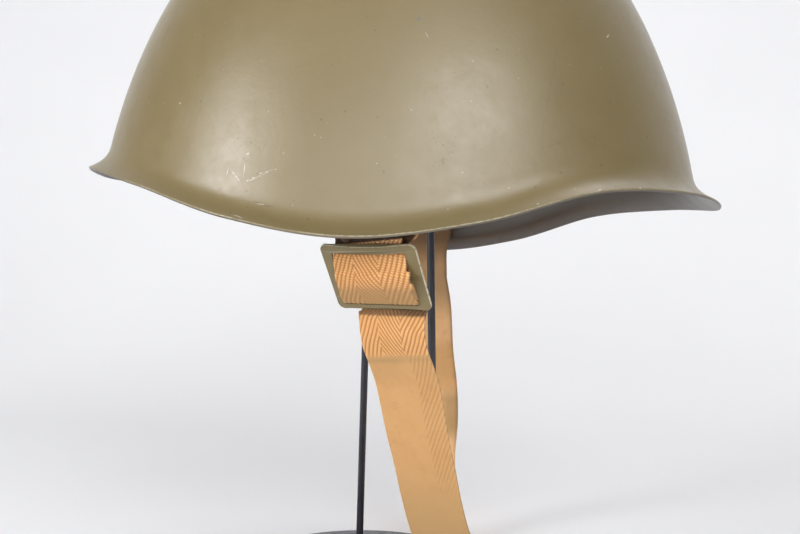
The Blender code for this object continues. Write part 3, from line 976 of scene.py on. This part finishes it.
def half_widths(point, in_front):
    """Half widths of the webbing to the left and right of its middle, and the bite at the right."""
    half = STRAP_WIDTH / 2
    if not in_front:
        return half, half, 0.0
    _, upward, forward = in_slider(point)
    low = SLIDER_BOTTOM_BAR - SLIDER_HEIGHT / 2
    high = SLIDER_HEIGHT / 2 - SLIDER_TOP_BAR
    spread = rise_and_fall(upward, low - 0.0030, low - 0.0004, high + 0.0002, high + 0.0020)
    spread *= ramp(forward, -0.0050, -0.0015)
    left = half + (SPREAD_LOW_LEFT - half) * ramp(-upward, 0.0, 0.010) * spread
    left += SPREAD_HIGH_LEFT * ramp(upward, 0.002, 0.008) * spread
    right = half + (SPREAD_RIGHT + SPREAD_FORWARD * max(0.0, forward) - half) * spread
    return left, right, torn_bite(point) * spread


def weave(across, along):
    """Height of the ribs and of the threads that cross them, 0 to 1, at a place on the webbing."""
    if across < LEFT_BORDER:
        lean, pitch = LEFT_LEAN, RIB_PITCH
    elif across > RIGHT_BORDER:
        lean, pitch = RIGHT_LEAN, RIB_PITCH
    else:
        lean, pitch = MIDDLE_LEAN, MIDDLE_RIB_PITCH
    phase = (across * math.cos(lean) + along * math.sin(lean)) / pitch
    turn = (along * math.cos(lean) - across * math.sin(lean)) / THREAD_PITCH
    turn += THREAD_SHIFT * math.floor(phase)
    return abs(math.sin(math.pi * phase)), abs(math.sin(math.pi * turn))


def rib_strength(point, across):
    """How much the ribs stand out at a point: least where the strap is rubbed smooth."""
    if point.y > NEAR_SIDE:
        return RUBBED_SMOOTH
    above_crease = ramp(point.z - CREASE_CLIMB * across, CREASE - 0.0030, CREASE + 0.0015)
    right_side = ramp(across, RIGHT_BORDER - 0.001, RIGHT_BORDER + 0.002)
    right_side *= ramp(point.z, RUBBED_END, RUBBED_BELOW)
    return max(above_crease, RUBBED_SMOOTH + RUBBED_RIGHT * right_side)


def webbing_stain_and_shade(point, across):
    """Stains and painted shade on the webbing: painted shade under the crease, most at the left, and
    low in the opening.
    """
    if point.y > NEAR_SIDE:
        edge = ramp(across, 0.001, 0.009) * close_to(point.z, *FAR_STAIN)
        patches = ramp(noise.noise(point * 45.0), 0.0, 0.5)
        return STAIN_AND_SHADE_SHARES["far_edge"] * edge + STAIN_AND_SHADE_SHARES["far_patches"] * patches
    below = CREASE + CREASE_CLIMB * across - point.z
    to_left = 0.25 + 0.75 * ramp(-across, *UNDER_CREASE_SHADE_LEFT)
    _, upward, forward = in_slider(point)
    opening = rise_and_fall(-upward, *OPENING_SHADE) * ramp(forward, *OPENING_SHADE_FORWARD)
    # Painted shade under the crease and low in the slider's opening, in patches
    patchy_shade = STAIN_AND_SHADE_SHARES["fold"] * rise_and_fall(below, *FOLD_SHADE)
    patchy_shade += STAIN_AND_SHADE_SHARES["under_crease"] * rise_and_fall(below, *UNDER_CREASE_SHADE) * to_left
    patchy_shade += STAIN_AND_SHADE_SHARES["opening"] * opening
    even = STAIN_AND_SHADE_SHARES["rubbed"] * ramp(below, *RUBBED_STAIN)
    even += STAIN_AND_SHADE_SHARES["lowest"] * ramp(-point.z, *LOWEST_STAIN)
    return min(1.0, patchy_shade * (0.75 + 0.5 * noise.noise(point * 160.0)) + even)


def webbing_painted_shade(point, across, in_front):
    """Painted shade on the webbing: the rim's and the bar's shadows, and shade on the sewn layer and
    far stretch.
    """
    # Painted shade of the shell over the far stretch
    if point.y > NEAR_SIDE:
        return sum(share * ramp(point.z, start, full) for share, start, full in FAR_SHELL_SHADE)
    # Painted shade over the sewn layer, all but its right selvedge
    if not in_front:
        start, full = (STRAP_WIDTH / 2 - inside for inside in SEWN_SHADE_EDGE)
        return 0.90 * (1 - ramp(across, start, full))
    # Painted shadow of the rim above a sloping line, and painted shadow of the bottom bar under it
    line = RIM_SHADOW_ABOVE + RIM_SHADOW_SLOPE * (point.x - SLIDER_CENTRE.x)
    rim_shadow = ramp(point.z + 0.0002 * noise.noise(point * 900.0), line, line + 0.0005)
    _, upward, _ = in_slider(point)
    bar_shadow = ramp(-upward, *BAR_SHADOW_BELOW)
    bar_shadow *= ramp(point.z + 0.0003 * noise.noise(point * 700.0), *BAR_SHADOW_HEIGHTS)
    return max(0.97 * rim_shadow, bar_shadow * (0.64 + 0.16 * ramp(across, -0.004, 0.010)))


def webbing_paleness_and_light(point, from_edge, in_front):
    """How pale the webbing is: its selvedges, and painted light on its fold over the top bar and its
    far stretch.
    """
    selvedge = 0.55 * ramp(-from_edge, *SELVEDGE_PALE)
    # Painted light on the far stretch, less of it round its middle height
    if point.y >= NEAR_SIDE:
        less_lit = 0.8 * close_to(point.z, *FAR_LESS_LIT)
        return max(selvedge, ramp(point.y, NEAR_SIDE, 0.03) * (1 - less_lit))
    # Painted light on the fold over the slider's top bar
    return max(selvedge, in_front * ramp(in_slider(point)[1], 0.0135, 0.0142))


def build_strap(material):
    """The webbing, with ribs, threads, rounded selvedges and a torn edge at the slider."""
    rings = strap_rings(sample_route(strap_route()))
    front_index = strap_front_start(rings)
    builder = bmesh.new()
    names = ("groove_shade", "stain_and_shade", "painted_shade", "paler_and_lit")
    layers = [builder.verts.layers.float.new(name) for name in names]
    full_threads = [SLIDER_CENTRE.z + above for above in THREADS_FROM]
    grid = []
    travelled = 0.0
    for index, (point, width, thick) in enumerate(rings):
        if index:
            travelled += (point - rings[index - 1][0]).length
        in_front = index > front_index
        left, right, bite = half_widths(point, in_front)
        crossed = THREADS_AWAY + (1 - THREADS_AWAY) * ramp(point.z, *full_threads)
        ring = []
        for side, share in ring_places():
            across = share * (right - bite if share > 0 else left)
            flat = across / (right if share > 0 else left) * STRAP_WIDTH / 2
            from_edge = (1 - abs(share)) * STRAP_WIDTH / 2
            rounding = max(0.0, SELVEDGE_ROUND - from_edge) / SELVEDGE_ROUND
            half = STRAP_THICK / 2 * math.sqrt(max(0.0, 1 - rounding ** 2)) * STRAP_PRESSED
            pace = (flat * WOBBLE_PACE, travelled * WOBBLE_PACE, side * 5.0)
            rib, thread = weave(flat + WOBBLE * noise.noise(Vector(pace)), travelled)
            strength = rib_strength(point, flat)
            height = rib - RIB_MIDDLE + crossed * THREAD_SHARE * rib * (thread - THREAD_MIDDLE)
            pace = (flat * RIPPLE_PACE[0], travelled * RIPPLE_PACE[1], side * 5.0)
            half += RIB_RELIEF * strength * height * (1 - rounding)
            half += RIPPLE * noise.noise(Vector(pace))
            vertex = builder.verts.new(point + width * across + thick * side * half)
            # Painted shade in the grooves between the ribs and between the threads
            groove_shade = GROOVE_SHADE * (1 - rib) + THREAD_SHADE * crossed * rib * (1 - thread)
            values = (
                min(1.0, groove_shade) * strength,
                webbing_stain_and_shade(point, flat),
                webbing_painted_shade(point + width * across, flat, in_front),
                webbing_paleness_and_light(point, from_edge, in_front),
            )
            for layer, value in zip(layers, values):
                vertex[layer] = value
            ring.append(vertex)
        grid.append(ring)
    skin(builder, grid)
    return finish_piece("webbing", builder, material)


def strap_front_start(rings):
    """Index of the sample at the near bracket, after which the strap comes down in front."""
    heights = [point.z for point, _, _ in rings[: len(rings) // 2]]
    return heights.index(max(heights))


def ring_places():
    """Side and share of the half width for each point round the webbing, close at the selvedges."""
    def shares(count):
        for i in range(1, count):
            even = -1 + 2 * i / count
            yield 0.85 * even + 0.15 * math.sin(math.pi / 2 * even)

    front = [(1.0, share) for share in shares(STRAP_STEPS_FRONT)]
    back = [(-1.0, -share) for share in shares(STRAP_STEPS_BACK)]
    return [(0.0, -1.0)] + front + [(0.0, 1.0)] + back


def rounded_box(left, right, low, high, radii):
    """Outline of a box, anticlockwise from its lower left, with a radius for each corner."""
    corners = ((left, low, 180), (right, low, 270), (right, high, 0), (left, high, 90))
    points = []
    for (x, z, start), radius in zip(corners, radii):
        middle = (x + (radius if x == left else -radius), z + (radius if z == low else -radius))
        turns = [start + 90 * i / CORNER_STEPS for i in range(CORNER_STEPS + 1)]
        points += round_corner(middle, radius, turns)
    outline = []
    for before, after in zip(points, points[1:] + points[:1]):
        count = max(1, round(math.dist(before, after) / SLIDER_STEP))
        for i in range(count):
            outline.append(tuple(a + (b - a) * i / count for a, b in zip(before, after)))
    return outline


def slanted(outline):
    """An outline whose left side leans, as the worn slider's opening does."""
    lean = 2 * OPENING_SLANT / SLIDER_WIDTH
    return [(x - lean * (z + OPENING_SLANT_BELOW) * min(0.0, x), z) for x, z in outline]


def bent(across, upward, forward):
    """Place of the flat plate's point on the bowed plate, whose top and bottom edges are worn."""
    half_height = SLIDER_HEIGHT / 2
    from_side = 1 - (2 * across / SLIDER_WIDTH) ** 2
    in_bottom_bar = max(0.0, 1 - (half_height + upward) / SLIDER_BOTTOM_BAR)
    in_top_bar = ramp(upward, half_height - 2 * SLIDER_TOP_BAR, half_height)
    raised = from_side * (SLIDER_HOLLOW * in_bottom_bar - SLIDER_SAG * in_top_bar)
    return across, -forward - slider_bow(across, upward), upward + raised


def build_slider(paint, edge_highlight_paint):
    """The stamped three-bar slider, bowed, with its rounded and worn cut edges, and a painted highlight
    on the rubbed top and right ones.
    """
    half_width = SLIDER_WIDTH / 2
    half_height = SLIDER_HEIGHT / 2
    half_bar = SLIDER_MIDDLE_BAR / 2
    left = SLIDER_LEFT_BAR - half_width
    right = half_width - SLIDER_RIGHT_BAR
    corner = OPENING_CORNER
    loops = (
        rounded_box(-half_width, half_width, -half_height, half_height, [SLIDER_CORNER] * 4),
        slanted(rounded_box(
            left, right, SLIDER_BOTTOM_BAR - half_height, -half_bar,
            [OPENING_LOW_LEFT_CORNER, corner, corner, corner],
        )),
        slanted(rounded_box(left, right, half_bar, half_height - SLIDER_TOP_BAR, [corner] * 4)),
    )
    curve = bpy.data.curves.new("slider_outline", "CURVE")
    curve.dimensions = "2D"
    curve.fill_mode = "BOTH"
    curve.extrude = SLIDER_PLATE / 2 - SLIDER_EDGE
    curve.bevel_depth = SLIDER_EDGE
    curve.bevel_resolution = 2
    curve.offset = -SLIDER_EDGE
    for loop in loops:
        spline = curve.splines.new("POLY")
        spline.points.add(len(loop) - 1)
        for point, (across, upward) in zip(spline.points, loop):
            point.co = (across, upward, 0.0, 1.0)
        spline.use_cyclic_u = True
    outline = add_object("slider_outline", curve)
    evaluated = outline.evaluated_get(bpy.context.evaluated_depsgraph_get())
    flat = bpy.data.meshes.new_from_object(evaluated)
    bpy.data.objects.remove(outline, do_unlink=True)
    builder = bmesh.new()
    builder.from_mesh(flat)
    bmesh.ops.remove_doubles(builder, verts=builder.verts, dist=1e-6)
    flat_faces = {face.index for face in builder.faces if abs(face.normal.z) > 0.95}
    for vertex in builder.verts:
        vertex.co = bent(*vertex.co)
    width, up, _ = slider_axes()
    builder.transform(frame_matrix((width, up.cross(width), up), SLIDER_CENTRE))
    piece = finish_piece("slider_plate", builder, paint, edge_highlight_paint)
    # Cut edges near the top and the right are rubbed and carry a painted highlight
    highlit_right = half_width - SLIDER_HIGHLIT_EDGE
    highlit_top = half_height - SLIDER_HIGHLIT_EDGE - SLIDER_SAG
    for polygon in piece.data.polygons:
        across, upward, _ = in_slider(polygon.center)
        is_edge = polygon.index not in flat_faces
        is_highlit = across > highlit_right or upward > highlit_top
        polygon.use_smooth = is_edge
        polygon.material_index = 1 if is_edge and is_highlit else 0
    return piece


# Stand

def build_rod(name, node, material):
    """A round rod through the middle of its solid, smooth and with softened ends."""
    places = [vertex.co.copy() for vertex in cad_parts[node].data.vertices]
    low = min(place.z for place in places)
    high = max(place.z for place in places)
    at_foot = [place for place in places if place.z < low + GAP]
    at_head = [place for place in places if place.z > high - GAP]
    foot = sum(at_foot, Vector()) / len(at_foot)
    head = sum(at_head, Vector()) / len(at_head)
    radius = max((place - foot).length for place in at_foot)
    length = (head - foot).length
    along = (head - foot).normalized()
    across = along.orthogonal().normalized()
    profile = [(radius * share, inside) for share, inside in ROD_ENDS]
    profile += [(share, length - inside) for share, inside in reversed(profile)]
    return round_piece(name, material, foot, (across, along.cross(across), along), profile, ROD_SIDES)


def build_base(material):
    """The round foot with a rounded upper rim."""
    low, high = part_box("stand_base")
    middle = (low + high) / 2
    radius = (high.x - low.x) / 2
    corner = (radius - BASE_ROUND, high.z - BASE_ROUND)
    profile = [(radius - BASE_EDGE, low.z), (radius, low.z + BASE_EDGE)]
    profile += round_corner(corner, BASE_ROUND, range(0, 91, 15))
    start = Vector((middle.x, middle.y, 0.0))
    return round_piece("foot_disc", material, start, Matrix.Identity(3), profile, BASE_SIDES)


# Materials

def paint_nodes(name, is_shell, gloss, levels):
    """Olive paint with blotches, specks and fine bumps, and on the shell the photo's wear and painted
    shade.
    """
    graph = Graph(bpy.data.materials.new(name))
    blotch = graph.noise(14.0, detail=5.0, roughness=0.6)
    fine = graph.noise(420.0, detail=3.0, roughness=0.6)
    dirt = graph.noise(95.0, detail=6.0, roughness=0.72)
    color = graph.mix(graph.spread(blotch, 0.32, 0.70, 0.72, 1.0), OLIVE_DEEP, OLIVE)
    color = graph.layer(color, dirt, 0.58, 0.78, 0.35, OLIVE_DEEP)
    for scale, size, rarity, strength, shade in PAINT_SPECKS:
        mask = graph.times(speck_mask(graph, scale, size, rarity), strength)
        color = graph.mix(mask, color, shade)
    if is_shell:
        color = shell_marks(graph, color)
        # Painted shade over the inside of the shell
        color = graph.layer(color, graph.attribute("inner"), 0.2, 0.8, 1.0, INSIDE_PAINTED_SHADE)
        color = worn_rim_and_edge_shade(graph, color)
    roughness = graph.spread(dirt, 0.25, 0.80, gloss - 0.03, gloss + 0.09)
    height = graph.math("ADD", graph.times(fine, 0.5), graph.times(dirt, 0.5))
    return graph.finish(color, roughness, {"Normal": graph.bump(height, PAINT_BUMP), **levels})


def speck_mask(graph, scale, size, rarity):
    """Small round specks in a few of the cells of a Voronoi pattern."""
    cells = graph.node("TexVoronoi", {"Scale": scale, "Vector": graph.place})
    cell_color = graph.node("SeparateColor", {0: cells.outputs["Color"]})
    chosen = graph.math("GREATER_THAN", cell_color.outputs[0], rarity)
    return graph.times(chosen, graph.spread(cells.outputs["Distance"], size, size * 2.2, 1.0, 0.0))


def mark_mask(graph, place, across, down, half_length, half_width, lean):
    """A soft oval on the shell at a pixel of the photo."""
    centre, distance = on_shell(across, down)
    pixel = distance / FOCAL_PIXELS
    inputs = {
        "Vector": place,
        "Location": centre,
        "Rotation": (0.0, -math.radians(lean), 0.0),
        "Scale": (half_length * pixel, MARK_DEPTH, half_width * pixel),
    }
    oval = graph.node("Mapping", inputs, vector_type="TEXTURE").outputs[0]
    return graph.spread(graph.vector_math("LENGTH", {0: oval}, "Value"), 0.55, 1.15, 1.0, 0.0)


def shell_marks(graph, color):
    """Scratches, ticks and chips at their places on the near side."""
    near_side = graph.math("LESS_THAN", graph.part("Y"), 0.0)
    shake = graph.noise(260.0, detail=3.0, output="Color")
    moved = graph.vector_math("SUBTRACT", {0: shake, 1: (0.5, 0.5, 0.5)})
    scaled = graph.vector_math("SCALE", {0: moved, "Scale": MARK_SHAKE})
    shaken = graph.vector_math("ADD", {0: graph.place, 1: scaled})
    rough = graph.noise(420.0, detail=5.0, roughness=0.8, vector=shaken)
    dots = graph.spread(graph.noise(900.0), 0.57, 0.64)
    patterns = {
        "whole": 1.0,
        "dotted": graph.times(dots, graph.spread(rough, 0.50, 0.60)),
        "broken": graph.spread(rough, 0.42, 0.58),
    }
    for pattern, strength, shade, places in SHELL_MARKS:
        mask = 0.0
        for mark in places:
            mask = graph.math("MAXIMUM", mask, mark_mask(graph, shaken, *mark))
        share = graph.times(mask, near_side, strength, patterns[pattern])
        color = graph.mix(share, color, shade)
    return color


def worn_rim_and_edge_shade(graph, color):
    """Painted shade on the cut edge, darker away from the middle, under a thin pale rubbed corner, with
    a few small chips up from it.
    """
    worn = graph.attribute("worn")
    depth = graph.attribute("inner")
    nibble = graph.noise(480.0, detail=4.0, roughness=0.7)
    wide = graph.noise(45.0)
    from_middle = graph.math("ABSOLUTE", graph.part("X"))
    # Painted shade on the cut edge, darker away from the middle
    shade = graph.layer(EDGE_PAINTED_SHADE, from_middle, 0.02, 0.06, 0.8, OLIVE_MARK)
    under = graph.times(graph.spread(depth, 0.25, 0.55, 0.0, 0.80), graph.spread(worn, 0.97, 0.999))
    color = graph.mix(under, color, shade)
    corner = graph.times(
        graph.spread(worn, 0.90, 0.98),
        graph.spread(depth, 0.12, 0.34, 1.0, 0.0),
        graph.spread(nibble, 0.38, 0.64, 0.10, 0.62),
        graph.spread(from_middle, 0.085, 0.112, 1.0, 0.25),
        graph.spread(wide, 0.38, 0.60, 0.35, 1.0),
    )
    color = graph.mix(corner, color, OLIVE_WORN)
    chips = graph.times(
        graph.spread(worn, 0.72, 0.90),
        graph.spread(nibble, 0.665, 0.70),
        graph.spread(wide, 0.50, 0.58, 0.0, 0.7),
    )
    return graph.mix(chips, color, OLIVE_MARK)


def cotton_nodes():
    """Woven cotton with the painted shade, stains, paleness and painted light that the mesh carries."""
    graph = Graph(bpy.data.materials.new("cotton_webbing"))
    patterns = {
        "fuzz": graph.noise(2600.0, detail=3.0, roughness=0.65),
        "tone": graph.noise(70.0, detail=5.0, roughness=0.65),
        "mottle": graph.noise(150.0, detail=5.0, roughness=0.7),
        "groove_shade": graph.attribute("groove_shade"),
    }
    # Paler selvedges, and painted light on the fold over the top bar and on the far stretch
    color = graph.mix(graph.attribute("paler_and_lit"), COTTON, COTTON_PALER_LIT)
    for pattern, low, high, strength, shade in COTTON_LAYERS:
        color = graph.layer(color, patterns[pattern], low, high, strength, shade)
    # Stains, and painted shade under the crease and low in the opening
    color = graph.mix(graph.attribute("stain_and_shade"), color, COTTON_STAIN_AND_SHADE)
    # Painted shade: shadows of the rim and the bottom bar, and shade on the sewn layer and the far
    # stretch
    color = graph.mix(graph.attribute("painted_shade"), color, COTTON_PAINTED_SHADE)
    fuzzy = graph.bump(patterns["fuzz"], COTTON_BUMP)
    return graph.finish(color, COTTON_ROUGHNESS, {"Normal": fuzzy, **COTTON_LEVELS})


def rubbed_highlight_nodes():
    """Paint worn thin and pale, with a painted highlight, on the slider's top and right cut edges."""
    graph = Graph(bpy.data.materials.new("worn_edge_highlight_paint"))
    rub = graph.noise(600.0, detail=3.0)
    color = graph.mix(graph.spread(rub, 0.30, 0.52, 0.25, 1.0), OLIVE, EDGE_RUBBED_HIGHLIGHT)
    return graph.finish(color, EDGE_ROUGHNESS, {})


def dark_metal_nodes():
    """The stand's dark satin paint."""
    graph = Graph(bpy.data.materials.new("stand_paint"))
    fine = graph.noise(500.0, detail=3.0)
    tone = graph.noise(60.0, detail=4.0)
    color = graph.mix(graph.spread(tone, 0.3, 0.7), DARK_PAINT, DARK_PAINT_PALER)
    roughness = graph.spread(fine, 0.3, 0.7, 0.34, 0.46)
    return graph.finish(color, roughness, {"Normal": graph.bump(fine, STAND_BUMP)})


def pale_nodes():
    """The pale floor and backdrop."""
    graph = Graph(bpy.data.materials.new("pale_paper"))
    tone = graph.noise(3.0, detail=3.0)
    color = graph.mix(graph.spread(tone, 0.3, 0.7), PAPER_SHADE, PAPER_WHITE)
    return graph.finish(color, PAPER_ROUGHNESS, {"Specular IOR Level": 0.2})


# Stage

def build_stage(material):
    """A pale floor that curves up into a backdrop."""
    corner = (FLOOR_BACK, BACKDROP_ROUND)
    curve = round_corner(corner, BACKDROP_ROUND, [-90 + 7.5 * i for i in range(13)])
    profile = [(FLOOR_FRONT, 0.0)] + curve + [(FLOOR_BACK + BACKDROP_ROUND, BACKDROP_TOP)]
    builder = bmesh.new()
    left, right = (
        [builder.verts.new((x, y, z)) for y, z in profile] for x in (-FLOOR_HALF, FLOOR_HALF)
    )
    for k in range(len(profile) - 1):
        builder.faces.new((left[k], right[k], right[k + 1], left[k + 1]))
    floor = new_object("floor", builder, material)


def area_light(name, direction, distance, size, power):
    """A soft box that faces the helmet from a direction."""
    data = bpy.data.lights.new(name, "AREA")
    data.shape = "RECTANGLE"
    data.size, data.size_y = size
    data.energy = power
    light = add_object(name, data)
    light.location = LIGHT_TARGET + Vector(direction).normalized() * distance
    light.rotation_mode = "QUATERNION"
    light.rotation_quaternion = (LIGHT_TARGET - light.location).to_track_quat("-Z", "Y")


def light_scene():
    """Soft boxes in front, one over the backdrop, and a surround that is bright in front only."""
    for soft_box in SOFT_BOXES:
        area_light(*soft_box)
    graph = Graph(bpy.data.worlds.new("surround"), "Generated")
    strength = graph.spread(graph.part("Y"), *SURROUND_EDGES, SURROUND, 0.0)
    graph.fill(graph.tree.nodes["Background"], {"Color": SURROUND_COLOR, "Strength": strength})
    bpy.context.scene.world = graph.owner
    bpy.context.scene.view_settings.view_transform = "Standard"


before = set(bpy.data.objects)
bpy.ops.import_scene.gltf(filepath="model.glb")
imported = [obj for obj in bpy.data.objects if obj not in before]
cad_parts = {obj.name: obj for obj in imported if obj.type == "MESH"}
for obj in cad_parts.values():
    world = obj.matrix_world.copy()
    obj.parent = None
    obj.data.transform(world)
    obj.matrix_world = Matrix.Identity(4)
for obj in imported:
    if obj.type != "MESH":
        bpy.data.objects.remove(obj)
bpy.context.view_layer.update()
place_camera()

shell_paint = paint_nodes("shell_paint", True, SHELL_GLOSS, SHELL_LEVELS)
small_paint = paint_nodes("fitting_paint", False, FITTING_GLOSS, FITTING_LEVELS)
stand_paint = dark_metal_nodes()

for piece, node, slot in (
    (build_shell(shell_paint), "helmet_shell", "olive_paint"),
    (build_strap(cotton_nodes()), "chin_strap", "cotton_webbing"),
    (build_slider(small_paint, rubbed_highlight_nodes()), "strap_slider", "olive_paint"),
    (build_rod("near_rod", "stand_rod_near", stand_paint), "stand_rod_near", "stand_metal"),
    (build_rod("far_rod", "stand_rod_far", stand_paint), "stand_rod_far", "stand_metal"),
    (build_base(stand_paint), "stand_base", "stand_metal"),
):
    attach(piece, "root")
    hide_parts(node)

for node, paint in (
    ("left_strap_bracket", small_paint),
    ("right_strap_bracket", small_paint),
    ("stand_cradle", stand_paint),
):
    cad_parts[node].data.materials.clear()
    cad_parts[node].data.materials.append(paint)

build_stage(pale_nodes())
light_scene()
